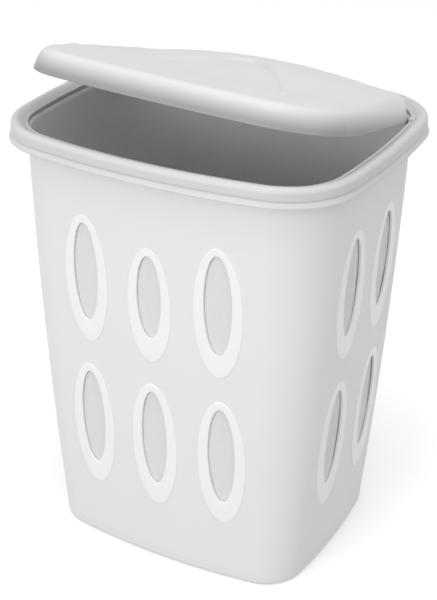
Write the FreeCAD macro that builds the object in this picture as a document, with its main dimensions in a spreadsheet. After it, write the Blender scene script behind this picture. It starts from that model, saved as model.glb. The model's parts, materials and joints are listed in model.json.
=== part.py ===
"""Laundry hamper with a tipping lid: a vented plastic tub, a rim collar, a lid and a fabric liner.

Frame: millimetres, +Z up, origin at the centre of the base, front towards -Y.
"""

import FreeCAD, Part
import Sketcher
import math
import os

from FreeCAD import Placement, Rotation, Vector

doc = FreeCAD.newDocument("laundry_hamper")

# ---------------------------------------------------------------- driving dimensions

SIZES = [
    ("rim_half_width", 223.0, "outside of the rim, centre to side"),
    ("rim_half_depth", 191.0, "outside of the rim, centre to front"),
    ("rim_corner", 89.6, "corner radius of the rim outline"),
    ("rim_long_radius", 843.8, "radius of the bowed front and back of the rim"),
    ("rim_short_radius", 1045.2, "radius of the bowed sides of the rim"),
    ("rim_top", 555.5, "overall height without the lid"),
    ("rim_seam", 540.0, "height of the step between roll and skirt"),
    ("skirt_bottom", 532.8, "lower edge of the collar's skirt"),
    ("lip_top", 550.4, "top of the inner lip of the collar"),
    ("lip_bottom", 545.5, "underside of the lip, just over the tub's edge"),
    ("tub_top", 545.0, "top edge of the tub"),
    ("base_half_width", 175.8, "tub outside at the floor, centre to side"),
    ("base_half_depth", 145.3, "tub outside at the floor, centre to front"),
    ("base_corner", 52.8, "corner radius at the floor"),
    ("base_bow_long", 19.0, "bow of the front and back at the floor"),
    ("base_bow_short", 13.1, "bow of the sides at the floor"),
    ("neck_height", 524.4, "height where the neck sizes hold"),
    ("neck_half_width", 203.8, "tub outside under the rim, centre to side"),
    ("neck_half_depth", 172.3, "tub outside under the rim, centre to front"),
    ("neck_corner", 84.0, "corner radius under the rim"),
    ("neck_bow_long", 20.9, "bow of the front and back under the rim"),
    ("neck_bow_short", 5.3, "bow of the sides under the rim"),
    ("barrel", 3.2, "outward swell of the walls at mid height"),
    ("wall", 2.0, "tub wall thickness"),
    ("floor_thickness", 3.0, "tub floor thickness"),
    ("base_round", 5.0, "rounding of the tub's bottom edge"),
    ("ring_proud", 0.9, "how far a vent ring stands out of the wall"),
    ("ring_lip", 2.5, "width of the ring's spigot round the vent"),
    ("ring_clearance", 0.15, "gap between a ring's spigot and the tub"),
    ("liner_gap", 2.4, "tub outside to liner"),
    ("liner_thickness", 1.0, "liner fabric as modelled"),
    ("liner_floor", 4.0, "height of the underside of the liner"),
    ("hem_bottom", 520.0, "lower edge of the liner's hem"),
    ("hem_top", 541.0, "upper edge of the liner's hem"),
    ("hem_gap", 2.3, "tub outside to the hem"),
    ("hem_thickness", 1.2, "folded hem as modelled"),
    ("lid_level", 540.0, "height of the tub outline that the lid repeats"),
    ("lid_inset", 5.2, "lid's lower edge inside that outline"),
    ("lid_wall", 1.8, "lid thickness"),
    ("lid_edge", 545.2, "lower edge of the closed lid"),
    ("lid_height", 28.5, "lower edge to the flat top of the lid"),
    ("lid_opening", 15.2, "how far the lid stands open, degrees"),
    ("pivot_height", 550.0, "height of the pivot axis"),
    ("pivot_depth", 104.0, "pivot axis behind the centre"),
    ("pivot_face", 195.9, "centre to the inner face of the collar's ears"),
    ("ear_reach", 204.5, "centre to the outer end of the ears"),
    ("ear_radius", 4.2, "rounded ears that hold the pivot pins"),
    ("boss_face", 194.9, "centre to the outer face of the lid's bosses"),
    ("boss_root", 185.0, "centre to the inner face of the lid's bosses"),
    ("boss_radius", 4.8, "bosses inside the lid that turn on the pins"),
    ("pin_radius", 2.0, "pivot pin"),
    ("pin_head_radius", 3.4, "head of the pivot pin"),
    ("pin_head_length", 2.0, "length of the pin's head"),
    ("pin_shank_length", 18.3, "length of the pin under its head"),
    ("pin_ear_play", 0.02, "radial play of the pin in the collar's ears"),
    ("pin_boss_play", 0.08, "radial play of the pin in the lid's bosses"),
    ("pin_head_gap", 0.3, "gap between the pin's head and the boss"),
    ("rest_half_width", 20.0, "half width of the rest under the front of the lid"),
    ("rest_gap", 0.4, "gap between the rest and the closed lid"),
    ("dome_centre", 30.0, "middle of the lid's raised swell, front to back"),
]

sheet = doc.addObject("Spreadsheet::Sheet", "sizes")
for row, (alias, value, note) in enumerate(SIZES, start=1):
    sheet.set(f"A{row}", alias)
    sheet.set(f"B{row}", str(value))
    sheet.setAlias(f"B{row}", alias)
    sheet.set(f"C{row}", note)
doc.recompute()


def size(alias):
    return float(getattr(sheet, alias))


# ---------------------------------------------------------------- outlines


def arc(start, middle, end):
    return Part.Arc(start, middle, end).toShape()


def tangent_outline(half_x, half_y, corner, long_radius, short_radius, z):
    """Closed outline of four bowed sides joined by round corners, every joint tangent."""
    long_centre = half_y - long_radius
    short_centre = half_x - short_radius
    to_long = long_radius - corner
    to_short = short_radius - corner
    gap = math.hypot(short_centre, long_centre)
    along = (to_long**2 - to_short**2 + gap**2) / (2 * gap)
    aside = math.sqrt(to_long**2 - along**2)
    ux, uy = short_centre / gap, -long_centre / gap
    corner_x = ux * along - uy * aside
    corner_y = long_centre + uy * along + ux * aside
    if corner_x + corner_y < 0:
        corner_x = ux * along + uy * aside
        corner_y = long_centre + uy * along - ux * aside
    long_angle = math.atan2(corner_y - long_centre, corner_x)
    short_angle = math.atan2(corner_y, corner_x - short_centre)
    middle_angle = (long_angle + short_angle) / 2

    def corner_point(angle):
        return corner_x + corner * math.cos(angle), corner_y + corner * math.sin(angle)

    def side_point(angle):
        return short_centre + short_radius * math.cos(angle), short_radius * math.sin(angle)

    quarter = [
        (half_x, 0.0),
        side_point(short_angle / 2),
        corner_point(short_angle),
        corner_point(middle_angle),
        corner_point(long_angle),
    ]
    upper = quarter + [(0.0, half_y)] + [(-x, y) for x, y in reversed(quarter)]
    lower = [(x, -y) for x, y in reversed(upper)]
    around = [Vector(x, y, z) for x, y in upper + lower[1:]]
    return Part.Wire([arc(*around[i : i + 3]) for i in range(0, len(around) - 2, 2)])


def rim_outline(inset, z):
    """The rim's outline, moved inwards by inset, at height z."""
    return tangent_outline(
        size("rim_half_width") - inset,
        size("rim_half_depth") - inset,
        size("rim_corner") - inset,
        size("rim_long_radius") - inset,
        size("rim_short_radius") - inset,
        z,
    )


def bow_radius(half, bow):
    return (half**2 + bow**2) / (2 * bow)


def wall_outline(level, inset, z):
    """The outline that the tub wall has at height level, moved inwards by inset, drawn at z."""
    part = level / size("neck_height")
    swell = 4 * part * (1 - part) * size("barrel")

    def between(low, high):
        return size(low) + (size(high) - size(low)) * part

    half_x = between("base_half_width", "neck_half_width") + swell
    half_y = between("base_half_depth", "neck_half_depth") + swell
    long_radius = bow_radius(half_x, between("base_bow_long", "neck_bow_long"))
    short_radius = bow_radius(half_y, between("base_bow_short", "neck_bow_short"))
    corner = between("base_corner", "neck_corner")
    return tangent_outline(
        half_x - inset, half_y - inset, corner - inset, long_radius - inset, short_radius - inset, z
    )


def tub_outline(inset, z):
    """The tub wall's outline at height z, moved inwards by inset."""
    return wall_outline(z, inset, z)


# ---------------------------------------------------------------- document helpers


def shape_object(name, shape):
    made = doc.addObject("Part::Feature", name)
    made.Shape = shape
    return made


def loft(name, wires, ruled=False):
    """A solid through the given outlines, as a loft of the document."""
    made = doc.addObject("Part::Loft", name)
    made.Sections = [shape_object(f"{name}_outline_{i}", w) for i, w in enumerate(wires)]
    made.Solid = True
    made.Ruled = ruled
    return made


def tub_loft(name, stations, ruled=False):
    """A solid bounded by the tub's wall, from a list of (inset, height)."""
    return loft(name, [tub_outline(inset, z) for inset, z in stations], ruled)


def boolean(kind, name, base, tool):
    made = doc.addObject(f"Part::{kind}", name)
    made.Base = base
    made.Tool = tool
    return made


def cut(name, base, tool):
    return boolean("Cut", name, base, tool)


def common(name, base, tool):
    return boolean("Common", name, base, tool)


def fuse(name, pieces):
    made = doc.addObject("Part::MultiFuse", name)
    made.Shapes = pieces
    return made


def profile_ring(name, profile):
    """A ring whose cross-section is profile, a list of edges in (inset, height), round the rim."""
    path = shape_object(f"{name}_path", rim_outline(0.0, size("rim_top")))
    section = shape_object(f"{name}_section", Part.Wire(profile))
    made = doc.addObject("Part::Sweep", name)
    made.Sections = [section]
    made.Spine = (path, [])
    made.Solid = True
    made.Frenet = False
    return made


def at_side(inset, z):
    """A point of a rim cross-section, drawn at the middle of the right side."""
    return Vector(size("rim_half_width") - inset, 0.0, z)


def section_edges(points):
    """Edges through points; a pair is a corner and a nested pair is an arc's middle and end."""
    edges = []
    here = at_side(*points[0])
    for step in points[1:] + [points[0]]:
        if isinstance(step[0], tuple):
            middle, end = at_side(*step[0]), at_side(*step[1])
            edges.append(arc(here, middle, end))
        else:
            end = at_side(*step)
            edges.append(Part.LineSegment(here, end).toShape())
        here = end
    return edges


NODES = []


def node(name, made):
    """Marks a document object as one finished piece."""
    made.Label = name
    NODES.append(made)
    return made


# ---------------------------------------------------------------- tub

WALL_STATIONS = [130.0, 260.0, 390.0]


def wall_solid(name, inset, low=0.0, high=size("tub_top")):
    """The space inside the tub's outside surface moved inwards by inset."""
    return tub_loft(name, [(inset, z) for z in [low] + WALL_STATIONS + [high]])


# ---------------------------------------------------------------- vents

FRONT, SIDE = "front", "side"

# name, face, distance from the middle of the face, ring (low, high, half width),
# hole (low, high, half width)
VENTS = [
    ("front_upper_centre", FRONT, 0.0, (297.0, 447.0, 28.8), (330.0, 437.0, 16.3)),
    ("front_upper_right", FRONT, 88.0, (299.0, 467.0, 30.5), (329.0, 457.0, 17.5)),
    ("front_lower_centre", FRONT, 0.0, (88.0, 266.0, 31.0), (120.0, 255.0, 17.5)),
    ("front_lower_right", FRONT, 90.0, (88.0, 266.0, 31.0), (120.0, 255.0, 17.5)),
    ("right_upper_front", SIDE, -46.0, (300.0, 467.0, 33.5), (330.0, 457.0, 18.5)),
    ("right_lower_front", SIDE, -49.0, (89.0, 267.0, 33.5), (121.0, 256.0, 18.5)),
]


def oval_prism(name, face, offset, oval, grow=0.0):
    """A straight elliptical prism through the front or the right wall."""
    low, high, half_width = oval
    half_height = (high - low) / 2 + grow
    made = doc.addObject("Part::Ellipse", f"{name}_ellipse")
    made.MajorRadius = half_height
    made.MinorRadius = half_width + grow
    across = Vector(0, -1, 0) if face == FRONT else Vector(1, 0, 0)
    if face == FRONT:
        up = Rotation(Vector(0, 0, 1), Vector(1, 0, 0), Vector(0, 1, 0), "XYZ")
        start = Vector(offset, -120.0, (low + high) / 2)
    else:
        up = Rotation(Vector(0, 0, 1), Vector(0, 1, 0), Vector(-1, 0, 0), "XYZ")
        start = Vector(140.0, offset, (low + high) / 2)
    made.Placement = Placement(start, up)
    prism = doc.addObject("Part::Extrusion", f"{name}_prism")
    prism.Base = made
    prism.DirMode = "Custom"
    prism.Dir = across
    prism.LengthFwd = 100.0
    prism.Solid = True
    return prism


def mirrored(name, source, normal):
    made = doc.addObject("Part::Mirroring", name)
    made.Source = source
    made.Normal = normal
    return made


def mirror_names(name, offset):
    """The vent and its mirror images: (suffix, flip left-right, flip front-back)."""
    images = [(name, False, False)]
    if name.startswith("front"):
        back = name.replace("front", "back", 1)
        images.append((back, False, True))
        if offset:
            images.append((name.replace("right", "left"), True, False))
            images.append((back.replace("right", "left"), True, True))
    else:
        left = name.replace("right", "left", 1)
        images.append((left, True, False))
        images.append((name.replace("_front", "_back"), False, True))
        images.append((left.replace("_front", "_back"), True, True))
    return images


def mirror_images(prefix, source, name, offset):
    """source and its mirror images, as (vent name, object)."""
    made = []
    for image, left_right, front_back in mirror_names(name, offset):
        here = source
        if left_right:
            here = mirrored(f"{prefix}_{image}_x", here, Vector(1, 0, 0))
        if front_back:
            here = mirrored(f"{prefix}_{image}_y", here, Vector(0, 1, 0))
        made.append((image, here))
    return made


def vent_ring(name, face, offset, ring, hole, flange_band, spigot_band):
    """One ring: a flat oval flange outside the wall and a short spigot through the opening."""
    outer = oval_prism(f"{name}_outer", face, offset, ring)
    through = oval_prism(f"{name}_hole", face, offset, hole)
    collar = oval_prism(f"{name}_collar", face, offset, hole, size("ring_lip"))
    flange = common(f"{name}_flange", flange_band, outer)
    spigot = common(f"{name}_spigot", spigot_band, collar)
    whole = fuse(f"{name}_whole", [flange, spigot])
    return cut(f"{name}_ring", whole, through)


def make_vents():
    """All rings as nodes; returns the prisms that open the tub's wall for them."""
    skin = wall_solid("ring_skin", -size("ring_proud"), low=40.0, high=500.0)
    outside = wall_solid("ring_outside", 0.0, low=30.0, high=510.0)
    inside = wall_solid("ring_inside", size("wall"), low=20.0, high=520.0)
    flange_band = cut("ring_flange_band", skin, outside)
    spigot_band = cut("ring_spigot_band", skin, inside)
    openings = []
    for name, face, offset, ring, hole in VENTS:
        made = vent_ring(name, face, offset, ring, hole, flange_band, spigot_band)
        grow = size("ring_lip") + size("ring_clearance")
        opening = oval_prism(f"{name}_opening", face, offset, hole, grow)
        for image, piece in mirror_images("ring", made, name, offset):
            node(f"vent_ring_{image}", piece)
        openings += [piece for _, piece in mirror_images("opening", opening, name, offset)]
    return openings


def make_tub(openings):
    outer = wall_solid("tub_outer", 0.0)
    cavity = wall_solid("tub_cavity", size("wall"), low=size("floor_thickness"), high=570.0)
    rounded = doc.addObject("Part::Fillet", "tub_rounded")
    rounded.Base = outer
    doc.recompute()
    edges = enumerate(outer.Shape.Edges, start=1)
    bottom = [i for i, edge in edges if edge.BoundBox.ZMax < 0.01]
    rounded.Edges = [(i, size("base_round"), size("base_round")) for i in bottom]
    hollow = cut("tub_hollow", rounded, cavity)
    holes = doc.addObject("Part::Compound", "tub_openings")
    holes.Links = openings
    return node("tub", cut("tub", hollow, holes))


# ---------------------------------------------------------------- rim collar

SIDES = ((-1, "left"), (1, "right"))


def across(name, side, near, far, radius):
    """A cylinder on the pivot axis between two distances from the middle of the hamper."""
    made = doc.addObject("Part::Cylinder", name)
    made.Radius = radius
    made.Height = far - near
    axis = Vector(side * near, size("pivot_depth"), size("pivot_height"))
    made.Placement = Placement(axis, Rotation(Vector(0, 1, 0), 90 * side))
    return made


def front_rest():
    """The small ledge inside the collar's front lip that the closed lid comes down on."""
    lip_face = size("rim_half_depth") - 20.4
    shelf = size("lid_edge") - size("rest_gap")
    lid_face = size("rim_half_depth") - 26.0
    outline = [
        (-lip_face - 0.9, size("lip_bottom") + 0.8),
        (-lip_face - 0.9, size("lip_top") - 1.6),
        (-lip_face + 1.3, size("lip_top") - 1.6),
        (-lip_face + 1.3, shelf),
        (-lid_face, shelf),
        (-lid_face, shelf - 1.8),
        (-lip_face + 0.3, shelf - 1.8),
        (-lip_face + 0.3, size("lip_bottom") + 0.8),
    ]
    half = size("rest_half_width")
    points = [Vector(-half, y, z) for y, z in outline]
    face = Part.Face(Part.makePolygon(points + points[:1]))
    return shape_object("front_rest", face.extrude(Vector(2 * half, 0, 0)))


def make_collar():
    seam = size("rim_seam")
    bottom = size("skirt_bottom")
    top = size("rim_top")
    lip = size("lip_top")
    under = size("lip_bottom")
    roll = profile_ring(
        "collar_roll",
        section_edges(
            [
                (0.8, seam),
                (0.0, seam),
                (0.0, top - 6.5),
                ((1.9, top - 1.9), (6.5, top)),
                (12.0, top - 1.9),
                (17.6, lip - 0.9),
                ((18.5, lip - 0.5), (19.4, lip)),
                ((20.1, lip - 0.3), (20.4, lip - 1.0)),
                (20.4, under),
                (18.9, under),
                (18.6, lip - 2.9),
                (17.4, lip - 2.9),
                (11.6, top - 3.8),
                (6.8, top - 1.9),
                ((3.3, top - 3.3), (1.9, top - 6.5)),
                (2.7, seam + 0.6),
                (-0.8, bottom),
                (-2.6, bottom),
            ]
        ),
    )
    pieces = [roll, front_rest()]
    bores = []
    face, reach = size("pivot_face"), size("ear_reach")
    bore = size("pin_radius") + size("pin_ear_play")
    for side, word in SIDES:
        pieces.append(across(f"ear_{word}", side, face, reach, size("ear_radius")))
        bores.append(across(f"ear_bore_{word}", side, face - 1, reach - 1, bore))
    body = fuse("collar_body", pieces)
    return node("rim_collar", cut("rim_collar", body, fuse("collar_bores", bores)))


# ---------------------------------------------------------------- pivot pins


def make_pin(side, word):
    """A straight pin pushed outwards through the lid's boss into the collar's ear."""
    body = doc.addObject("PartDesign::Body", f"pivot_pin_{word}")
    planes = {feature.Role: feature for feature in body.Origin.OriginFeatures}

    def pad(name, radius_alias, length_alias, start):
        sketch = body.newObject("Sketcher::SketchObject", f"{name}_{word}")
        sketch.AttachmentSupport = [(planes["XY_Plane"], "")]
        sketch.MapMode = "FlatFace"
        sketch.AttachmentOffset = Placement(Vector(0, 0, start), Rotation())
        circle = Part.Circle(Vector(0, 0, 0), Vector(0, 0, 1), size(radius_alias))
        sketch.addGeometry(circle, False)
        sketch.addConstraint(Sketcher.Constraint("Coincident", 0, 3, -1, 1))
        radius = sketch.addConstraint(Sketcher.Constraint("Radius", 0, size(radius_alias)))
        sketch.setExpression(f"Constraints[{radius}]", f"sizes.{radius_alias}")
        made = body.newObject("PartDesign::Pad", f"{name}_pad_{word}")
        made.Profile = sketch
        made.setExpression("Length", f"sizes.{length_alias}")
        return made

    pad("head", "pin_head_radius", "pin_head_length", 0.0)
    pad("shank", "pin_radius", "pin_shank_length", size("pin_head_length"))
    head = size("boss_root") - size("pin_head_gap") - size("pin_head_length")
    start = Vector(side * head, size("pivot_depth"), size("pivot_height"))
    body.Placement = Placement(start, Rotation(Vector(0, 1, 0), 90 * side))
    return node(f"pivot_pin_{word}", body)


# ---------------------------------------------------------------- lid


def lid_outline(inset, up):
    """The lid's outline moved inwards by inset, at a height above the closed lid's edge."""
    return wall_outline(size("lid_level"), size("lid_inset") + inset, size("lid_edge") + up)


# the lid's section: inwards from its edge and upwards from it
SHOULDER = [(0.0, 0.0), (2.6, 11.0), (4.2, 17.0), (7.4, 22.0), (12.5, 25.6), (21.0, 27.6)]
SHOULDER_WIDTH = 31.0

# the raised swell's ovals: half width, half depth and height above the lid's edge
DOME_LEVELS = [
    (148.0, 112.0, 22.0),
    (144.0, 108.0, 29.0),
    (126.0, 90.0, 36.0),
    (96.0, 66.0, 42.0),
    (50.0, 34.0, 46.0),
]


def oval_outline(half_x, half_y, y_centre, z):
    made = Part.Ellipse(Vector(0, y_centre, z), half_x, half_y)
    return Part.Wire([made.toShape()])


def lid_dome(name, sink):
    """The long raised swell in the middle of the lid, moved down by sink."""
    centre = size("dome_centre")
    base = size("lid_edge") - sink
    rounds = [oval_outline(a - sink, b - sink, centre, base + up) for a, b, up in DOME_LEVELS]
    return loft(name, rounds, True)


def lid_shell(name, wall):
    """The lid's skirt, rounded shoulder and flat top, moved inwards by wall."""
    section = [(run + wall, rise - 0.9 * wall) for run, rise in SHOULDER]
    section.append((SHOULDER_WIDTH + wall, size("lid_height") - wall))
    return loft(name, [lid_outline(inset, up) for inset, up in section], True)


def make_lid():
    wall = size("lid_wall")
    root, face = size("boss_root"), size("boss_face")
    bore = size("pin_radius") + size("pin_boss_play")
    bosses, bores = [], []
    for side, word in SIDES:
        bosses.append(across(f"boss_{word}", side, root, face, size("boss_radius")))
        bores.append(across(f"boss_bore_{word}", side, root - 1, face + 1, bore))
    solid = fuse("lid_solid", [lid_shell("lid_outside", 0.0), lid_dome("lid_dome_outside", 0.0)])
    voids = fuse("lid_voids", [lid_shell("lid_inside", wall), lid_dome("lid_dome_inside", wall)])
    skin = cut("lid_skin", solid, voids)
    closed = cut("lid_closed", fuse("lid_with_bosses", [skin] + bosses), fuse("lid_bores", bores))
    doc.recompute()
    lid = shape_object("lid", closed.Shape)
    axis = Vector(0, size("pivot_depth"), size("pivot_height"))
    swing = Rotation(Vector(1, 0, 0), -size("lid_opening"))
    lid.Placement = Placement(axis, swing) * Placement(-axis, Rotation())
    return node("lid", lid)


# ---------------------------------------------------------------- liner


def make_bag():
    """The bag that hangs inside the tub, from its floor up to the hem."""
    gap = size("liner_gap")
    thin = size("liner_thickness")
    low = size("liner_floor")
    high = size("hem_bottom") - 0.4
    outer = tub_loft("liner_outside", [(gap, z) for z in [low] + WALL_STATIONS + [high]])
    levels = [low + thin] + WALL_STATIONS + [high + 1.0]
    inner = tub_loft("liner_inside", [(gap + thin, z) for z in levels])
    node("liner_bag", cut("liner_bag", outer, inner))


def make_hem():
    gap, thick = size("hem_gap"), size("hem_thickness")
    low, high = size("hem_bottom"), size("hem_top")
    outside = tub_loft("hem_outside", [(gap, low), (gap, high)], True)
    inside = tub_loft("hem_inside", [(gap + thick, low - 1.0), (gap + thick, high + 1.0)], True)
    node("liner_hem", cut("liner_hem", outside, inside))


# ---------------------------------------------------------------- build, check and write

make_tub(make_vents())
make_collar()
for side, word in SIDES:
    make_pin(side, word)
make_lid()
make_bag()
make_hem()
doc.recompute()

faults = [o.Name for o in doc.Objects if {"Invalid", "Error"} & set(o.State)]
faults += [n.Label for n in NODES if n.Shape.isNull() or not n.Shape.isValid()]
if faults:
    raise RuntimeError(f"these objects failed: {faults}")

os.makedirs("parts", exist_ok=True)
for made in NODES:
    made.Shape.exportStep(f"parts/{made.Label}.step")
    volume = made.Shape.Volume / 1000
    print(f"{made.Label:32s} solids {len(made.Shape.Solids)}  volume {volume:9.2f} cm3")
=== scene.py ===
"""Laundry hamper with a tipping lid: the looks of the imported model, in its frame, in metres."""

import json
import math

import bmesh
import bpy
from mathutils import Matrix, Vector, noise


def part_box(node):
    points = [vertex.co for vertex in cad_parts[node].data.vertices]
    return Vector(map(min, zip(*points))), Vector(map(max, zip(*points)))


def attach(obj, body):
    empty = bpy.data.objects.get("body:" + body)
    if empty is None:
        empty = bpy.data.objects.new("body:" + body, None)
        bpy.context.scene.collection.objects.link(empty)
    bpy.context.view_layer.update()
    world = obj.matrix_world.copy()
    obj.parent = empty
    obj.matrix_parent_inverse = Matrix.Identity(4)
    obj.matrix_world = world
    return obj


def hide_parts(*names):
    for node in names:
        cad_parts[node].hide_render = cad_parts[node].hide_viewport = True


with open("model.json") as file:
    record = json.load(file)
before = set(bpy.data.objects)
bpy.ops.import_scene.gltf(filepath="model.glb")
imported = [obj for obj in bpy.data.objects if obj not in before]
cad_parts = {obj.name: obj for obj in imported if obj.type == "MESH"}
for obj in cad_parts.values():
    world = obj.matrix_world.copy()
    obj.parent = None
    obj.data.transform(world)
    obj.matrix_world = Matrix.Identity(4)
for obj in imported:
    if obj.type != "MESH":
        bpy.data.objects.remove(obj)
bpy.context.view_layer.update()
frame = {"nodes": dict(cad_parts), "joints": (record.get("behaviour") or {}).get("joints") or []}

MM = 0.001

# ---------------------------------------------------------------- sizes, in millimetres

rim_low, rim_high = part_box("rim_collar")
FLARE = 2.6
RIM_HALF_X = rim_high.x / MM - FLARE
RIM_HALF_Y = -rim_low.y / MM - FLARE
RIM_TOP = rim_high.z / MM
RIM_CORNER, RIM_LONG, RIM_SHORT = 89.6, 843.8, 1045.2

SEAM = 540.0
SKIRT_BOTTOM = rim_low.z / MM
LIP_TOP = 550.4
LIP_BOTTOM = 545.5
LIP_INSET = 20.4

# the tub's outline at the base and at the neck: half width, half depth, corner radius, bow of
# the long sides, bow of the short sides; between them it swells by up to BARREL
NECK = 524.4
BASE_SHAPE = (175.8, 145.3, 52.8, 19.0, 13.1)
NECK_SHAPE = (203.8, 172.3, 84.0, 20.9, 5.3)
BARREL = 3.2
TUB_TOP = 545.0
WALL = 2.0
FLOOR = 3.0
BASE_ROUND = 5.0

PIVOT_Y, PIVOT_Z = (axis / MM for axis in frame["joints"][0]["pos_m"][1:])
LID_OPEN = -math.radians(frame["joints"][0]["range_deg"][0])
LID_EDGE = 545.2
LID_LEVEL = 540.0
LID_INSET = 5.2
LID_WALL = 1.8


# ---------------------------------------------------------------- outlines


class Outline:
    """Four bowed sides joined by round corners, every joint tangent, in one horizontal plane."""

    def __init__(self, half_x, half_y, corner, long_radius, short_radius):
        self.half_x, self.half_y, self.corner = half_x, half_y, corner
        self.long_radius, self.short_radius = long_radius, short_radius
        self.long_centre = half_y - long_radius
        self.short_centre = half_x - short_radius
        to_long, to_short = long_radius - corner, short_radius - corner
        gap = math.hypot(self.short_centre, self.long_centre)
        along = (to_long**2 - to_short**2 + gap**2) / (2 * gap)
        aside = math.sqrt(to_long**2 - along**2)
        ux, uy = self.short_centre / gap, -self.long_centre / gap
        self.corner_x = ux * along + uy * aside
        self.corner_y = self.long_centre + uy * along - ux * aside
        if self.corner_x < 0 or self.corner_y < 0:
            self.corner_x = ux * along - uy * aside
            self.corner_y = self.long_centre + uy * along + ux * aside
        self.long_angle = math.atan2(self.corner_y - self.long_centre, self.corner_x)
        self.short_angle = math.atan2(self.corner_y, self.corner_x - self.short_centre)

    def front(self, x):
        """Half depth of the outline at x."""
        x = abs(x)
        if x <= self.long_radius * math.cos(self.long_angle):
            return self.long_centre + math.sqrt(self.long_radius**2 - x**2)
        run = min(x - self.corner_x, self.corner)
        return self.corner_y + math.sqrt(self.corner**2 - run**2)

    def side(self, y):
        """Half width of the outline at y."""
        y = abs(y)
        if y <= self.short_radius * math.sin(self.short_angle):
            return self.short_centre + math.sqrt(self.short_radius**2 - y**2)
        run = min(y - self.corner_y, self.corner)
        return self.corner_x + math.sqrt(self.corner**2 - run**2)

    def short_point(self, angle):
        radius = self.short_radius
        return self.short_centre + radius * math.cos(angle), radius * math.sin(angle)

    def corner_point(self, angle):
        radius = self.corner
        return self.corner_x + radius * math.cos(angle), self.corner_y + radius * math.sin(angle)

    def long_point(self, angle):
        radius = self.long_radius
        return radius * math.cos(angle), self.long_centre + radius * math.sin(angle)

    def loop(self, sides, corners, fronts):
        """Points round the outline from +X towards +Y, with that many steps in each quarter."""
        quarter = []
        for i in range(sides):
            quarter.append(self.short_point(self.short_angle * i / sides))
        for i in range(corners):
            turn = self.long_angle - self.short_angle
            quarter.append(self.corner_point(self.short_angle + turn * i / corners))
        for i in range(fronts):
            turn = math.pi / 2 - self.long_angle
            quarter.append(self.long_point(self.long_angle + turn * i / fronts))
        half = quarter + [(0.0, self.half_y)] + [(-x, y) for x, y in reversed(quarter)]
        return half + [(x, -y) for x, y in reversed(half[1:-1])]

    def between(self, x, y, part):
        """The point that far, 0 to 1, along the corner from (x, front) to (side, y)."""
        on_corner = self.corner_x + self.corner * math.cos(self.long_angle)
        start = math.pi / 2
        if x > on_corner:
            start = math.acos(min((x - self.corner_x) / self.corner, 1.0))
        else:
            start = math.acos(x / self.long_radius)
        flat = self.long_radius * max(start - self.long_angle, 0.0) if x <= on_corner else 0.0
        first = self.long_angle if x <= on_corner else start
        end_on_side = y < self.corner_y + self.corner * math.sin(self.short_angle)
        if end_on_side:
            last = self.short_angle
            tail = self.short_radius * (self.short_angle - math.asin(y / self.short_radius))
        else:
            last = math.asin(min((y - self.corner_y) / self.corner, 1.0))
            tail = 0.0
        bend = self.corner * (first - last)
        run = part * (flat + bend + tail)
        if run < flat:
            return self.long_point(start - run / self.long_radius)
        if run < flat + bend or tail == 0.0:
            return self.corner_point(first - (run - flat) / self.corner)
        return self.short_point(self.short_angle - (run - flat - bend) / self.short_radius)


def rim_outline(inset):
    return Outline(
        RIM_HALF_X - inset,
        RIM_HALF_Y - inset,
        RIM_CORNER - inset,
        RIM_LONG - inset,
        RIM_SHORT - inset,
    )


def bow_radius(half, bow):
    return (half**2 + bow**2) / (2 * bow)


def tub_outline(inset, z):
    """The tub wall's outline at height z, moved inwards by inset."""
    part = z / NECK
    swell = 4 * part * (1 - part) * BARREL
    width, depth, corner, long_bow, short_bow = (
        low + (high - low) * part for low, high in zip(BASE_SHAPE, NECK_SHAPE)
    )
    half_x, half_y = width + swell, depth + swell
    return Outline(
        half_x - inset,
        half_y - inset,
        corner - inset,
        bow_radius(half_x, long_bow) - inset,
        bow_radius(half_y, short_bow) - inset,
    )


# ---------------------------------------------------------------- mesh helpers


def clean(name, vertices, faces, sharp=40.0, merge=0.02):
    """An object made of vertices in millimetres and faces, welded, turned outwards and smooth."""
    mesh = bpy.data.meshes.new(name)
    mesh.from_pydata([Vector(v) * MM for v in vertices], [], faces)
    work = bmesh.new()
    work.from_mesh(mesh)
    bmesh.ops.remove_doubles(work, verts=work.verts, dist=merge * MM)
    bmesh.ops.recalc_face_normals(work, faces=work.faces)
    work.to_mesh(mesh)
    work.free()
    mesh.shade_smooth()
    mesh.set_sharp_from_angle(angle=math.radians(sharp))
    made = bpy.data.objects.new(name, mesh)
    bpy.context.scene.collection.objects.link(made)
    return made


def grid_faces(rows, columns, start=0, round_columns=False):
    """Faces between rows of vertices laid one row after another."""
    faces = []
    for r in range(rows - 1):
        for c in range(columns if round_columns else columns - 1):
            a = start + r * columns + c
            b = start + r * columns + (c + 1) % columns
            faces.append((a, b, b + columns, a + columns))
    return faces


def loops_mesh(name, loops, closed=False, cap=False, sharp=40.0):
    """A mesh through closed loops of equal length; cap closes the last loop to its middle."""
    count = len(loops[0])
    vertices = [v for one in loops for v in one]
    faces = grid_faces(len(loops), count, 0, True)
    if closed:
        last = (len(loops) - 1) * count
        for c in range(count):
            d = (c + 1) % count
            faces.append((last + c, last + d, d, c))
    if cap:
        last = (len(loops) - 1) * count
        vertices.append(tuple(sum(v[i] for v in loops[-1]) / count for i in range(3)))
        for c in range(count):
            faces.append((last + c, last + (c + 1) % count, len(vertices) - 1))
    return clean(name, vertices, faces, sharp)


def at_height(points, z):
    return [(x, y, z) for x, y in points]


def arc_points(centre, radius, start, end, steps):
    """Points of a section's round stretch, angles in degrees, in (inset, height)."""
    made = []
    for i in range(steps + 1):
        angle = math.radians(start + (end - start) * i / steps)
        made.append((centre[0] + radius * math.cos(angle), centre[1] + radius * math.sin(angle)))
    return made


def add_modifier(made, kind, name, **values):
    modifier = made.modifiers.new(name, kind)
    for key, value in values.items():
        setattr(modifier, key, value)
    return modifier


# ---------------------------------------------------------------- materials


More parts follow.
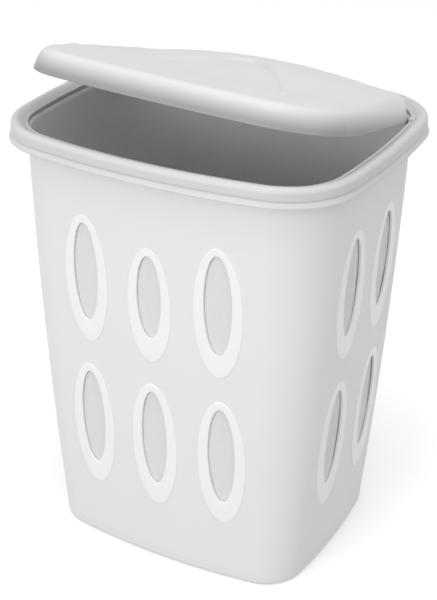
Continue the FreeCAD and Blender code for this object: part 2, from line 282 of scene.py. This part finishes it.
def new_material(name):
    """An empty node material with its output; returns (material, nodes, links, shader)."""
    material = bpy.data.materials.new(name)
    material.use_nodes = True
    nodes, links = material.node_tree.nodes, material.node_tree.links
    nodes.clear()
    output = nodes.new("ShaderNodeOutputMaterial")
    shader = nodes.new("ShaderNodeBsdfPrincipled")
    links.new(shader.outputs["BSDF"], output.inputs["Surface"])
    return material, nodes, links, shader


def noise_node(nodes, links, coordinates, scale, detail=3.0, roughness=0.55):
    made = nodes.new("ShaderNodeTexNoise")
    made.inputs["Scale"].default_value = scale
    made.inputs["Detail"].default_value = detail
    made.inputs["Roughness"].default_value = roughness
    links.new(coordinates, made.inputs["Vector"])
    return made


def map_range(nodes, links, source, low, high, to_low, to_high):
    made = nodes.new("ShaderNodeMapRange")
    for name, value in (("From Min", low), ("From Max", high), ("To Min", to_low), ("To Max", to_high)):
        made.inputs[name].default_value = value
    links.new(source, made.inputs["Value"])
    return made.outputs["Result"]


def grey(value):
    return (value, value, value, 1.0)


def painted_edge_shade(nodes, links, place, colour, up, low, high, share):
    """Painted shade: scales a colour by share below low, rising to the whole colour above high, along
    up.
    """
    along = nodes.new("ShaderNodeVectorMath")
    along.operation = "DOT_PRODUCT"
    along.inputs[1].default_value = up
    links.new(place, along.inputs[0])
    factor = map_range(nodes, links, along.outputs["Value"], low, high, share, 1.0)
    painted_shade_node = nodes.new("ShaderNodeVectorMath")
    painted_shade_node.operation = "SCALE"
    links.new(colour, painted_shade_node.inputs[0])
    links.new(factor, painted_shade_node.inputs["Scale"])
    return painted_shade_node.outputs["Vector"]


def plastic(name, shade, spread, roughness, grain, painted_shade=None):
    """Injection-moulded plastic: fine grain, faint flow marks, uneven gloss, optional painted shade
    darkening the colour towards an edge.
    """
    material, nodes, links, shader = new_material(name)
    place = nodes.new("ShaderNodeTexCoord").outputs["Object"]
    clouds = noise_node(nodes, links, place, 9.0, 4.0)
    ramp = nodes.new("ShaderNodeValToRGB")
    low, high = ramp.color_ramp.elements
    low.position, high.position = 0.32, 0.68
    low.color, high.color = grey(shade - spread), grey(shade + spread)
    links.new(clouds.outputs["Fac"], ramp.inputs["Fac"])
    colour = ramp.outputs["Color"]
    # painted shade: the colour is darkened towards the lid's lower edge to stand in for the shade on its
    # skirt
    if painted_shade:
        colour = painted_edge_shade(nodes, links, place, colour, *painted_shade)
    links.new(colour, shader.inputs["Base Color"])
    smudges = noise_node(nodes, links, place, 38.0, 5.0)
    gloss = map_range(nodes, links, smudges.outputs["Fac"], 0.3, 0.7, roughness - 0.04, roughness + 0.05)
    links.new(gloss, shader.inputs["Roughness"])
    fine = noise_node(nodes, links, place, 1500.0, 2.0)
    bump = nodes.new("ShaderNodeBump")
    bump.inputs["Strength"].default_value = 0.25
    bump.inputs["Distance"].default_value = grain * MM
    links.new(fine.outputs["Fac"], bump.inputs["Height"])
    links.new(bump.outputs["Normal"], shader.inputs["Normal"])
    shader.inputs["IOR"].default_value = 1.49
    return material


def weave(name, shade, spread, thread=1.1):
    """Plain-woven cotton: crossing threads in the UV map's metres, slubs and a little sheen."""
    material, nodes, links, shader = new_material(name)
    place = nodes.new("ShaderNodeTexCoord").outputs["UV"]
    heights = []
    for direction in ("X", "Y"):
        threads = nodes.new("ShaderNodeTexWave")
        threads.wave_type = "BANDS"
        threads.bands_direction = direction
        threads.inputs["Scale"].default_value = 0.5 / (thread * MM) / 3.14159
        threads.inputs["Distortion"].default_value = 0.6
        threads.inputs["Detail"].default_value = 1.0
        links.new(place, threads.inputs["Vector"])
        heights.append(threads.outputs["Fac"])
    cross = nodes.new("ShaderNodeMath")
    cross.operation = "MULTIPLY"
    links.new(heights[0], cross.inputs[0])
    links.new(heights[1], cross.inputs[1])
    slubs = noise_node(nodes, links, place, 160.0, 4.0, 0.6)
    mixed = nodes.new("ShaderNodeMath")
    mixed.operation = "ADD"
    links.new(cross.outputs["Value"], mixed.inputs[0])
    links.new(slubs.outputs["Fac"], mixed.inputs[1])
    ramp = nodes.new("ShaderNodeValToRGB")
    low, high = ramp.color_ramp.elements
    low.position, high.position = 0.35, 1.25
    low.color, high.color = grey(shade - spread), grey(shade + spread)
    links.new(mixed.outputs["Value"], ramp.inputs["Fac"])
    links.new(ramp.outputs["Color"], shader.inputs["Base Color"])
    bump = nodes.new("ShaderNodeBump")
    bump.inputs["Strength"].default_value = 0.5
    bump.inputs["Distance"].default_value = 0.25 * MM
    links.new(mixed.outputs["Value"], bump.inputs["Height"])
    links.new(bump.outputs["Normal"], shader.inputs["Normal"])
    shader.inputs["Roughness"].default_value = 0.92
    shader.inputs["Sheen Weight"].default_value = 0.15
    return material


# the lid's twist, and the painted shade on its skirt: up, where it starts and ends, share of the colour
# at the edge
ASKEW = math.radians(1.8)
LID_UP = (math.tan(ASKEW), math.sin(LID_OPEN), math.cos(LID_OPEN))
LID_BASE = (PIVOT_Y * LID_UP[1] + PIVOT_Z * LID_UP[2] + LID_EDGE - PIVOT_Z) * MM
LID_PAINTED_SHADE = (LID_UP, LID_BASE + 5.0 * MM, LID_BASE + 24.5 * MM, 0.42)

TUB = plastic("tub_satin", 0.735, 0.006, 0.50, 0.10)
RIM = plastic("rim_satin", 0.56, 0.006, 0.42, 0.06)
# the lid's colour carries a painted shade that darkens its skirt towards the edge
LID = plastic("lid_satin_painted_shade", 0.65, 0.005, 0.40, 0.06, LID_PAINTED_SHADE)
RING = plastic("ring_white", 0.82, 0.005, 0.38, 0.03)
PIN = plastic("pin_plastic", 0.80, 0.005, 0.34, 0.03)
CLOTH_OUT = weave("cloth_pale", 0.68, 0.03)
# painted light: the bag's inside is the same cloth, made lighter than the outside to brighten the shaded
# interior
CLOTH_INSIDE_PAINTED_LIGHT = weave("cloth_inside_painted_light", 0.88, 0.03)


# ---------------------------------------------------------------- tub

PANEL_X = 124.0
PANEL_Y = 94.0
WALL_LOW = BASE_ROUND
LOWER_BLOCK = (78.0, 276.0)
UPPER_BLOCK = (288.0, 476.0)

# name: distance of its middle from the face's middle, ring (low, high, half width), hole (same)
FRONT_VENTS = {
    "upper_centre": (0.0, (297.0, 447.0, 28.8), (330.0, 437.0, 16.3)),
    "upper_right": (88.0, (299.0, 467.0, 30.5), (329.0, 457.0, 17.5)),
    "lower_centre": (0.0, (88.0, 266.0, 31.0), (120.0, 255.0, 17.5)),
    "lower_right": (90.0, (88.0, 266.0, 31.0), (120.0, 255.0, 17.5)),
}
SIDE_VENTS = {
    "upper": (46.0, (300.0, 467.0, 33.5), (330.0, 457.0, 18.5)),
    "lower": (49.0, (89.0, 267.0, 33.5), (121.0, 256.0, 18.5)),
}
OPENING_GROW = 2.65


def face_vents(face):
    """All vents of a face: name, signed middle, ring oval and hole oval."""
    made = []
    if face in ("front", "back"):
        for name, (middle, ring, hole) in FRONT_VENTS.items():
            made.append((f"{face}_{name}", middle, ring, hole))
            if middle:
                made.append((f"{face}_{name.replace('right', 'left')}", -middle, ring, hole))
    else:
        for name, (middle, ring, hole) in SIDE_VENTS.items():
            made.append((f"{face}_{name}_front", -middle, ring, hole))
            made.append((f"{face}_{name}_back", middle, ring, hole))
    return made


def wall_point(face, along, z, inset):
    """The point of the wall at that distance from the face's middle, moved inwards by inset."""
    outline = tub_outline(inset, z)
    if face == "front":
        return along, -outline.front(along), z
    if face == "back":
        return along, outline.front(along), z
    if face == "right":
        return outline.side(along), along, z
    return -outline.side(along), along, z


def spread(low, high, steps):
    return [low + (high - low) * i / steps for i in range(steps + 1)]


def oval_point(middle, oval, angle, grow=0.0):
    low, high, half_width = oval
    across = middle + (half_width + grow) * math.cos(angle)
    return across, (low + high) / 2 + ((high - low) / 2 + grow) * math.sin(angle)


class Skin:
    """Collects the faces of the tub's wall as patches; clean() welds them."""

    def __init__(self):
        self.vertices, self.faces = [], []

    def patch(self, rows, round_columns=False):
        start = len(self.vertices)
        for row in rows:
            self.vertices.extend(row)
        self.faces.extend(grid_faces(len(rows), len(rows[0]), start, round_columns))

    def fan(self, loop, z):
        """Closes a loop with shrinking loops at height z and a centre."""
        rows = [loop]
        for share in (0.85, 0.6, 0.35, 0.12):
            rows.append([(x * share, y * share, z) for x, y, _ in loop])
        self.patch(rows, True)
        start = len(self.vertices) - len(loop)
        self.vertices.append((0.0, 0.0, z))
        for i in range(len(loop)):
            following = start + (i + 1) % len(loop)
            self.faces.append((start + i, following, len(self.vertices) - 1))


def block_lines(face):
    """Where the grid lines of a face lie: edges of the vent blocks and even steps between."""
    if face in ("front", "back"):
        edges = [(-PANEL_X, -52.0, 9), (-52.0, -38.0, 2), (-38.0, 38.0, 10)]
        edges += [(38.0, 52.0, 2), (52.0, PANEL_X, 9)]
    else:
        edges = [(-PANEL_Y, -86.0, 1), (-86.0, -9.0, 10), (-9.0, 9.0, 2)]
        edges += [(9.0, 86.0, 10), (86.0, PANEL_Y, 1)]
    return edges


HEIGHTS = [
    (WALL_LOW, LOWER_BLOCK[0], 5),
    (*LOWER_BLOCK, 18),
    (LOWER_BLOCK[1], UPPER_BLOCK[0], 1),
    (*UPPER_BLOCK, 18),
    (UPPER_BLOCK[1], TUB_TOP, 6),
]


def vent_block(skin, face, across, up, vent, inset):
    """A block of the wall with its oval opening, as loops from the block's edge to the oval."""
    _, middle, _, hole = vent
    lines, levels = spread(*across), spread(*up)
    border = [(a, levels[0]) for a in lines]
    border += [(lines[-1], z) for z in levels[1:]]
    border += [(a, levels[-1]) for a in reversed(lines[:-1])]
    border += [(lines[0], z) for z in reversed(levels[1:-1])]
    centre_z = (hole[0] + hole[1]) / 2
    half_height = (hole[1] - hole[0]) / 2
    oval = []
    for a, z in border:
        angle = math.atan2((z - centre_z) / half_height, (a - middle) / hole[2])
        oval.append(oval_point(middle, hole, angle, OPENING_GROW))
    rows = []
    for part in (0.0, 0.3, 0.6, 0.85, 1.0):
        blend = [
            (a + (b - a) * part, z + (w - z) * part) for (a, z), (b, w) in zip(border, oval)
        ]
        rows.append([wall_point(face, a, z, inset) for a, z in blend])
    skin.patch(rows, True)
    return oval


def face_skin(skin, face, inset):
    """One face of the wall; returns the ovals of its openings."""
    ovals = []
    for across in block_lines(face):
        for up in HEIGHTS:
            vent = None
            if up[:2] in (LOWER_BLOCK, UPPER_BLOCK):
                inside = [
                    v
                    for v in face_vents(face)
                    if across[0] < v[1] < across[1] and up[0] < v[3][0] < up[1]
                ]
                vent = inside[0] if inside else None
            if vent:
                ovals.append(vent_block(skin, face, across, up, vent, inset))
            else:
                rows = [
                    [wall_point(face, a, z, inset) for a in spread(*across)] for z in spread(*up)
                ]
                skin.patch(rows)
    return ovals


def all_levels():
    return sorted({z for up in HEIGHTS for z in spread(*up)})


def face_lines(face):
    return sorted({a for across in block_lines(face) for a in spread(*across)})


CORNER_STEPS = 18


def corner_column(z, inset, mirror_x, mirror_y):
    outline = tub_outline(inset, z)
    row = []
    for i in range(CORNER_STEPS + 1):
        x, y = outline.between(PANEL_X, PANEL_Y, i / CORNER_STEPS)
        row.append((mirror_x * x, mirror_y * y, z))
    return row


def wall_loop(z, inset):
    """The wall's vertices at one height, all the way round from +X at the side's middle."""
    outline = tub_outline(inset, z)
    quarter = [(outline.side(y), y) for y in face_lines("right") if 0 <= y <= PANEL_Y]
    corner = [outline.between(PANEL_X, PANEL_Y, i / CORNER_STEPS) for i in range(CORNER_STEPS)]
    quarter += reversed(corner[1:])
    fronts = [(x, outline.front(x)) for x in face_lines("front") if 0 <= x <= PANEL_X]
    quarter += reversed(fronts)
    half = quarter + [(-x, y) for x, y in reversed(quarter[:-1])]
    return at_height(half + [(x, -y) for x, y in reversed(half[1:-1])], z)


def build_tub():
    """The tub as one closed wall with its floor, its openings and a plain top edge."""
    skin = Skin()
    for face in ("front", "back", "left", "right"):
        openings = face_skin(skin, face, 0.0)
        face_skin(skin, face, WALL)
        for oval in openings:
            outer = [wall_point(face, a, z, 0.0) for a, z in oval]
            inner = [wall_point(face, a, z, WALL) for a, z in oval]
            skin.patch([outer, inner], True)
    for mirror_x in (-1, 1):
        for mirror_y in (-1, 1):
            for inset in (0.0, WALL):
                rows = [corner_column(z, inset, mirror_x, mirror_y) for z in all_levels()]
                skin.patch(rows)
    outside_low, inside_low = wall_loop(WALL_LOW, 0.0), wall_loop(WALL_LOW, WALL)
    rounding = [outside_low]
    for i in range(1, 6):
        angle = math.radians(90 * i / 5)
        z = BASE_ROUND * (1 - math.sin(angle))
        rounding.append(wall_loop(z, BASE_ROUND * (1 - math.cos(angle))))
    skin.patch(rounding, True)
    skin.fan(rounding[-1], 0.0)
    inner_floor = wall_loop(FLOOR, WALL + BASE_ROUND - FLOOR)
    skin.patch([inside_low, inner_floor], True)
    skin.fan(inner_floor, FLOOR)

    edge = [wall_loop(TUB_TOP, 0.0), wall_loop(TUB_TOP + 0.3, 0.5)]
    edge += [wall_loop(TUB_TOP + 0.3, WALL - 0.5), wall_loop(TUB_TOP, WALL)]
    skin.patch(edge, True)
    made = clean("tub_body", skin.vertices, skin.faces, 32.0)
    made.data.materials.append(TUB)
    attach(made, "hamper")
    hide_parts("tub")
    return made


# ---------------------------------------------------------------- vent rings

RING_PROUD = 0.9
RING_STEPS = 96


def build_ring(name, face, middle, ring, hole):
    """A flat oval frame with softly rounded edges and a short spigot through the wall."""
    section = [(0.0, 0.0, 0.0), (0.0, 0.0, 0.3)]
    section += [(0.0, -0.25, 0.6), (0.0, -0.8, RING_PROUD - 0.1), (0.0, -1.6, RING_PROUD)]
    section += [(0.35, 0.0, RING_PROUD), (0.7, 0.0, RING_PROUD)]
    section += [(1.0, 1.0, RING_PROUD), (1.0, 0.4, RING_PROUD - 0.1), (1.0, 0.1, 0.6), (1.0, 0.0, 0.3)]
    section += [(1.0, 0.0, 0.05 - WALL), (1.0, 2.3, 0.05 - WALL), (1.0, 2.3, 0.05)]
    loops = []
    for part, grow, height in section:
        oval = tuple(a + (b - a) * part for a, b in zip(ring, hole))
        points = []
        for i in range(RING_STEPS):
            along, z = oval_point(middle, oval, 2 * math.pi * i / RING_STEPS, grow)
            points.append(wall_point(face, along, z, -height))
        loops.append(points)
    made = loops_mesh(f"oval_{name}", loops, closed=True, sharp=50.0)
    made.data.materials.append(RING)
    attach(made, "hamper")
    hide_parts(f"vent_ring_{name}")


# ---------------------------------------------------------------- rim collar, ears and front rest

AROUND = (20, 22, 34)


def rim_loop(inset, z):
    return at_height(rim_outline(inset).loop(*AROUND), z)


def collar_section():
    """The rim's section in (inset, height): up the skirt, over the roll, down the band, lip."""
    top = RIM_TOP
    skirt = arc_points((-FLARE + 0.9, SKIRT_BOTTOM + 0.9), 0.9, 270, 180, 5)
    skirt += [(-2.0, SKIRT_BOTTOM + 2.6), (-0.3, SEAM - 2.0), (0.9, SEAM - 0.5), (1.1, SEAM + 0.1)]
    roll = [(0.5, SEAM + 0.3), (0.05, SEAM + 0.9), (0.0, SEAM + 2.6)]
    roll += arc_points((6.5, top - 6.5), 6.5, 180, 90, 12)
    band = [(8.2, top - 0.2), (9.8, top - 0.8), (11.6, top - 1.8), (13.6, top - 3.1)]
    band += [(15.6, top - 4.5), (17.0, top - 5.4), (17.9, LIP_TOP - 0.9)]
    lip = [(18.5, LIP_TOP - 0.6), (19.0, LIP_TOP - 0.15), (19.5, LIP_TOP), (20.0, LIP_TOP - 0.1)]
    lip += [(LIP_INSET - 0.05, LIP_TOP - 0.6), (LIP_INSET, LIP_TOP - 1.4)]
    lip += [(LIP_INSET, LIP_BOTTOM + 0.3)]
    inside = [(20.1, LIP_BOTTOM), (19.0, LIP_BOTTOM), (18.8, LIP_TOP - 2.9), (17.4, LIP_TOP - 2.9)]
    inside += [(11.6, top - 3.8), (6.8, top - 1.95), (3.9, top - 3.0), (2.0, top - 6.5)]
    inside += [(2.5, SEAM + 1.6), (2.4, SEAM - 0.6), (1.2, SEAM - 2.4), (-0.8, SKIRT_BOTTOM + 0.5)]
    inside += [(-1.1, SKIRT_BOTTOM + 0.1)]
    return skirt + roll + band + lip + inside


def turned(name, side, near, profile, steps=40):
    """A ring-shaped piece round the pivot axis, from pairs (distance along it, radius)."""
    loops = []
    for run, radius in profile:
        row = []
        for i in range(steps):
            angle = 2 * math.pi * i / steps
            y = PIVOT_Y + radius * math.cos(angle)
            row.append((side * (near + run), y, PIVOT_Z + radius * math.sin(angle)))
        loops.append(row)
    return loops_mesh(name, loops, closed=True, sharp=35.0)


def round_bush(name, side, near, far, radius, bore):
    """A short tube with softened rims."""
    length = far - near
    profile = [(0.0, bore), (0.0, radius - 0.5), (0.15, radius - 0.15), (0.5, radius)]
    profile += [(length - 0.5, radius), (length - 0.15, radius - 0.15), (length, radius - 0.5)]
    profile += [(length, bore)]
    return turned(name, side, near, profile)


SIDES = ((-1, "left"), (1, "right"))
# near end, far end, radius and bore radius, along the pivot axis
EAR = (195.9, 203.6, 4.2, 2.02)
BOSS = (185.0, 194.9, 4.8, 2.08)

REST_HALF = 20.0
REST_GAP = 1.1
REST_THICK = 1.8
REST_REACH = 5.6


def rounded_block(name, low, high, width):
    """A block with rounded edges between two corners."""
    outline = [(low[0], low[1]), (high[0], low[1]), (high[0], high[1]), (low[0], high[1])]
    corners = at_height(outline, low[2]) + at_height(outline, high[2])
    faces = [(0, 1, 2, 3), (4, 5, 6, 7)] + grid_faces(2, 4, 0, True)
    made = clean(name, corners, faces, 30.0)
    add_modifier(
        made, "BEVEL", "edges", width=width * MM, segments=3, limit_method="ANGLE",
        angle_limit=math.radians(35), harden_normals=True,
    )
    return made


def build_collar():
    loops = [rim_loop(inset, z) for inset, z in collar_section()]
    made = loops_mesh("rim_roll", loops, closed=True, sharp=46.0)
    pieces = [made]
    for side, word in SIDES:
        near, far, radius, bore = EAR
        pieces.append(round_bush(f"pivot_ear_{word}", side, near, far, radius, bore))
    lip_y = LIP_INSET - RIM_HALF_Y
    shelf = LID_EDGE - REST_GAP
    under = shelf - REST_THICK
    root = (-REST_HALF, lip_y - 0.4, under), (REST_HALF, lip_y + 1.3, LIP_TOP - 1.6)
    ledge = (-REST_HALF, lip_y + 0.6, under), (REST_HALF, lip_y + REST_REACH, shelf)
    pieces.append(rounded_block("rest_root", *root, 0.4))
    pieces.append(rounded_block("rest_ledge", *ledge, 0.5))
    for piece in pieces:
        piece.data.materials.append(RIM)
        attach(piece, "hamper")
    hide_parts("rim_collar")


# ---------------------------------------------------------------- lid

# heights are above the lid's edge; CREASE is the crease's distance behind the front edge
LID_HEIGHT = 27.7
BACK_HEIGHT = 31.5
CREASE = 84.0
CREASE_HEIGHT = 31.5
# the hump's crest line: distance from the middle, height above the edge
CREST = [(0, 48.0), (50, 47.0), (76, 44.5), (95, 43.0), (120, 40.0), (146, 36.0)]
CREST += [(165, BACK_HEIGHT)]
CREST_Y = 88.0
# the grip scoop: half width at the crease, depth to its point, and its step below the hump
SCOOP_HALF = 112.0
SCOOP_DEPTH = 148.0
SCOOP_POWER = 1.55
SCOOP_TOP = 41.0
STEP = 3.2


def smooth_step(value, low, high):
    t = min(max((value - low) / (high - low), 0.0), 1.0)
    return t * t * (3 - 2 * t)


def lid_outline(inset):
    return tub_outline(LID_INSET + inset, LID_LEVEL)


LID_OUTLINE = lid_outline(0.0)


def between_pairs(pairs, value):
    """Height at a place, eased between the (place, height) pairs on either side of it."""
    for (low, first), (high, second) in zip(pairs, pairs[1:]):
        if value <= high:
            return first + (second - first) * smooth_step(value, low - 6.0, high + 6.0)
    return pairs[-1][1]


def border_height(y):
    """Height of the lid's border, which rises from the front to the back."""
    return LID_HEIGHT + (BACK_HEIGHT - LID_HEIGHT) * smooth_step(y, -110.0, 60.0)


def lid_height(x, y, depth):
    """Height of the lid's top above its edge; depth is the distance in from the outline."""
    behind = y + LID_OUTLINE.front(x)
    border = border_height(y)
    inside_bead = smooth_step(depth, 20.0, 26.0)
    panel = border - 1.6 * inside_bead * smooth_step(behind, CREASE - 6.0, CREASE + 40.0)
    shoulder = LID_HEIGHT + (CREASE_HEIGHT - LID_HEIGHT) * smooth_step(behind, 16.0, CREASE)
    front = 1 - smooth_step(behind, CREASE - 4.0, CREASE + 14.0)
    base = panel + (max(shoulder, border) - panel) * front * inside_bead
    crest = between_pairs(CREST, abs(x)) - BACK_HEIGHT
    rise = smooth_step(y, CREST_Y - 190.0, CREST_Y - 4.0)
    fall = 1 - smooth_step(y, CREST_Y + 18.0, CREST_Y + 66.0)
    height = base + max(crest, 0.0) * rise * fall * inside_bead
    scoop_y = behind - CREASE
    reach = SCOOP_DEPTH * (1 - min(abs(x) / SCOOP_HALF, 1.0) ** SCOOP_POWER)
    inside = smooth_step(reach - scoop_y, -1.5, 4.0)
    inside *= smooth_step(behind, CREASE - 1.2, CREASE + 1.2)
    part = min(max(scoop_y / SCOOP_DEPTH, 0.0), 1.0)
    face = CREASE_HEIGHT - 2.6 + (SCOOP_TOP - CREASE_HEIGHT + 2.6) * part ** 0.8
    dip = min(face, height - STEP)
    return height + (dip - height) * inside


# the lid's section from its edge over the shoulder: inwards from the outline, and height
SKIRT = [(1.7, 0.0), (0.6, 0.0), (0.1, 0.3), (0.0, 1.0), (0.5, 2.4), (1.1, 5.0), (1.8, 8.0)]
SKIRT += [(2.8, 11.5), (3.8, 14.6), (5.0, 17.6), (6.5, 20.4), (8.4, 22.9), (10.7, 25.0)]
SKIRT += [(13.4, 26.6), (16.2, 27.7)]
TOP_INSETS = [17.5, 19.0, 20.5, 22.0, 23.5, 25.0, 26.5]
TOP_ROWS = 64
LID_AROUND = (30, 30, 72)


def lid_loops():
    """Loops from the lid's lower edge over the shoulder to the middle, in the closed position."""
    loops = []
    for inset, up in SKIRT:
        row = []
        for x, y in lid_outline(inset).loop(*LID_AROUND):
            taller = (border_height(y) / LID_HEIGHT - 1) * smooth_step(up, 4.0, LID_HEIGHT)
            row.append((x, y, LID_EDGE + up * (1 + taller)))
        loops.append(row)
    for inset in TOP_INSETS:
        points = lid_outline(inset).loop(*LID_AROUND)
        loops.append([(x, y, LID_EDGE + lid_height(x, y, inset)) for x, y in points])
    last = lid_outline(TOP_INSETS[-1]).loop(*LID_AROUND)
    for i in range(1, TOP_ROWS):
        share = 1 - i / TOP_ROWS
        points = [(x * (0.995 * share + 0.005), y * share) for x, y in last]
        loops.append([(x, y, LID_EDGE + lid_height(x, y, 30.0)) for x, y in points])
    return loops


def swing(x, y, z):
    """A point of the closed lid, turned to where it rests, its front a little twisted."""
    twist = math.tan(ASKEW) * smooth_step(PIVOT_Y - y, 20.0, 180.0)
    run, rise = y - PIVOT_Y, z - PIVOT_Z - x * twist
    cosine, sine = math.cos(LID_OPEN), math.sin(LID_OPEN)
    return x, PIVOT_Y + run * cosine + rise * sine, PIVOT_Z - run * sine + rise * cosine


def build_lid():
    loops = [[swing(*point) for point in row] for row in lid_loops()]
    made = loops_mesh("lid_shell", loops, cap=True, sharp=70.0)
    add_modifier(
        made, "SOLIDIFY", "wall", thickness=LID_WALL * MM, offset=-1.0, use_even_offset=True
    )
    made.data.materials.append(LID)
    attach(made, "lid")
    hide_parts("lid")
    for side, word in SIDES:
        near, far, radius, bore = BOSS
        boss = round_bush(f"lid_boss_{word}", side, near, far, radius, bore)
        boss.data.materials.append(LID)
        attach(boss, "lid")


# ---------------------------------------------------------------- liner

LINER_STEPS = (44, 30, 56)
LINER_INSET = 2.45
LINER_FLOOR = 4.6
ROW_STEP = 7.0
WALL_ROWS = 77
HEM_TOP = 545.2
HEM_BOTTOM = 520.0
HEM_THICK = 0.4
RIPPLE = 1.2
# the bag's floor: share of the lowest wall row's width, height
FLOOR_ROWS = [(0.985, 9.0), (0.955, 5.8)]
FLOOR_ROWS += [(share, LINER_FLOOR) for share in (0.90, 0.75, 0.55, 0.35, 0.15)]


def round_noise(x, y, z, folds, length, shift=0.0):
    """Noise that runs round the bag, with that many folds and that length down it."""
    turn = math.atan2(y, x)
    return noise.noise(Vector((math.cos(turn) * folds, math.sin(turn) * folds, z / length + shift)))


def liner_fold(x, y, z):
    """How far the cloth stands in from its hanging surface: broad folds and small creases."""
    broad = round_noise(x, y, z, 5.2, 420.0) * 1.4
    middle = round_noise(x, y, z, 15.0, 170.0, 7.0) * 0.8
    small = noise.noise(Vector((x / 34.0, y / 34.0, z / 16.0))) * 0.45
    return max(broad + middle + small + 0.2, 0.0)


def liner_wall_row(z):
    """One row of the bag's wall; the cloth is tight at the hem and near the floor."""
    tight = smooth_step(z, 480.0, 526.0)
    hem = HEM_THICK * smooth_step(z, HEM_BOTTOM, HEM_BOTTOM + 3.0)
    free = (1 - tight) * smooth_step(z, 10.0, 60.0)
    row = []
    for x, y in tub_outline(LINER_INSET + hem, z).loop(*LINER_STEPS):
        shrink = 1 - liner_fold(x, y, z) * free / math.hypot(x, y)
        row.append((x * shrink, y * shrink, z))
    return row


def liner_loops():
    """Loops of the bag from its hem down the wall and over the floor."""
    loops = [liner_wall_row(HEM_TOP - i * ROW_STEP) for i in range(WALL_ROWS)]
    bottom = loops[-1]
    for share, z in FLOOR_ROWS:
        ripple = RIPPLE if share < 0.9 else 0.0
        row = []
        for x, y, _ in bottom:
            px, py = x * share, y * share
            rise = ripple * max(noise.noise(Vector((px / 45.0, py / 45.0, 3.0))), 0.0)
            row.append((px, py, z + rise))
        loops.append(row)
    return loops


def set_uv(made, girth):
    """UV in metres: round the bag and down it."""
    layer = made.data.uv_layers.new(name="cloth")
    for polygon in made.data.polygons:
        for index in polygon.loop_indices:
            co = made.data.vertices[made.data.loops[index].vertex_index].co
            turn = math.atan2(co.y, co.x) / (2 * math.pi)
            layer.data[index].uv = (turn * girth, co.z)


def build_liner():
    loops = liner_loops()
    made = loops_mesh("liner_cloth", loops, cap=True, sharp=80.0)
    set_uv(made, 1.3)
    made.data.materials.append(CLOTH_OUT)
    # the inner shell gets the lighter copy of the cloth: painted light inside the bag
    made.data.materials.append(CLOTH_INSIDE_PAINTED_LIGHT)
    add_modifier(
        made, "SOLIDIFY", "cloth", thickness=0.8 * MM, offset=-1.0, material_offset=1,
        material_offset_rim=1,
    )
    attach(made, "hamper")
    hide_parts("liner_bag", "liner_hem")


# ---------------------------------------------------------------- stage, light and camera


SKY_LOW, SKY_HIGH = 0.40, 0.85


def build_stage():
    bpy.ops.mesh.primitive_plane_add(size=30.0, location=(0.0, 0.0, 0.0))
    floor = bpy.context.object
    floor.name = "floor"
    material, _, _, shader = new_material("pale_floor")
    shader.inputs["Base Color"].default_value = grey(0.93)
    shader.inputs["Roughness"].default_value = 0.95
    shader.inputs["Emission Color"].default_value = grey(1.0)
    shader.inputs["Emission Strength"].default_value = 0.12
    floor.data.materials.append(material)
    floor.visible_diffuse = False
    world = bpy.data.worlds.new("studio")
    world.use_nodes = True
    nodes, links = world.node_tree.nodes, world.node_tree.links
    background = nodes["Background"]
    split = nodes.new("ShaderNodeSeparateXYZ")
    links.new(nodes.new("ShaderNodeTexCoord").outputs["Generated"], split.inputs["Vector"])
    shade = map_range(nodes, links, split.outputs["Z"], -0.4, 0.3, SKY_LOW, SKY_HIGH)
    links.new(shade, background.inputs["Color"])
    bpy.context.scene.world = world
    bpy.context.scene.view_settings.view_transform = "Standard"


def area_light(name, azimuth, elevation, distance, size, share):
    """A round soft light aimed at the object; share is its light as a part of a white sky's."""
    data = bpy.data.lights.new(name, "AREA")
    data.shape = "DISK"
    data.size = size
    data.energy = share * (math.pi * distance) ** 2
    middle = Vector((0.0, 0.0, 0.35))
    turn, rise = math.radians(azimuth), math.radians(elevation)
    away = Vector((
        math.sin(turn) * math.cos(rise), -math.cos(turn) * math.cos(rise), math.sin(rise)
    ))
    light = bpy.data.objects.new(name, data)
    light.location = middle + away * distance
    light.rotation_euler = (-away).to_track_quat("-Z", "Y").to_euler()
    bpy.context.scene.collection.objects.link(light)


def build_lights():
    area_light("key", -8.0, 11.0, 3.0, 1.6, 0.37)
    area_light("fill", 68.0, 16.0, 3.0, 1.6, 0.11)
    area_light("top", 10.0, 76.0, 3.0, 1.8, 0.27)


CAMERA_AZIMUTH = math.radians(28.447)
CAMERA_ELEVATION = math.radians(27.525)
CAMERA_ROLL = math.radians(0.89)
CAMERA_PLACE = (0.7432, -1.3718, 1.1185)


def build_camera():
    data = bpy.data.cameras.new("camera")
    data.sensor_width = 36.0
    data.lens = 83.6
    camera = bpy.data.objects.new("camera", data)
    back = Vector((
        math.sin(CAMERA_AZIMUTH) * math.cos(CAMERA_ELEVATION),
        -math.cos(CAMERA_AZIMUTH) * math.cos(CAMERA_ELEVATION),
        math.sin(CAMERA_ELEVATION),
    ))
    right = Vector((math.cos(CAMERA_AZIMUTH), math.sin(CAMERA_AZIMUTH), 0.0))
    up = back.cross(right)
    tilted = right * math.cos(CAMERA_ROLL) + up * math.sin(CAMERA_ROLL)
    upright = up * math.cos(CAMERA_ROLL) - right * math.sin(CAMERA_ROLL)
    turn = Matrix((tilted, upright, back)).transposed().to_4x4()
    camera.matrix_world = Matrix.Translation(CAMERA_PLACE) @ turn
    bpy.context.scene.collection.objects.link(camera)
    bpy.context.scene.camera = camera


# ---------------------------------------------------------------- make everything

build_camera()
build_lights()
build_stage()
build_tub()
for face in ("front", "back", "left", "right"):
    for name, middle, ring, hole in face_vents(face):
        build_ring(name, face, middle, ring, hole)
build_collar()
build_lid()
build_liner()
for word in ("left", "right"):
    pin = frame["nodes"][f"pivot_pin_{word}"]
    pin.data.materials.clear()
    pin.data.materials.append(PIN)
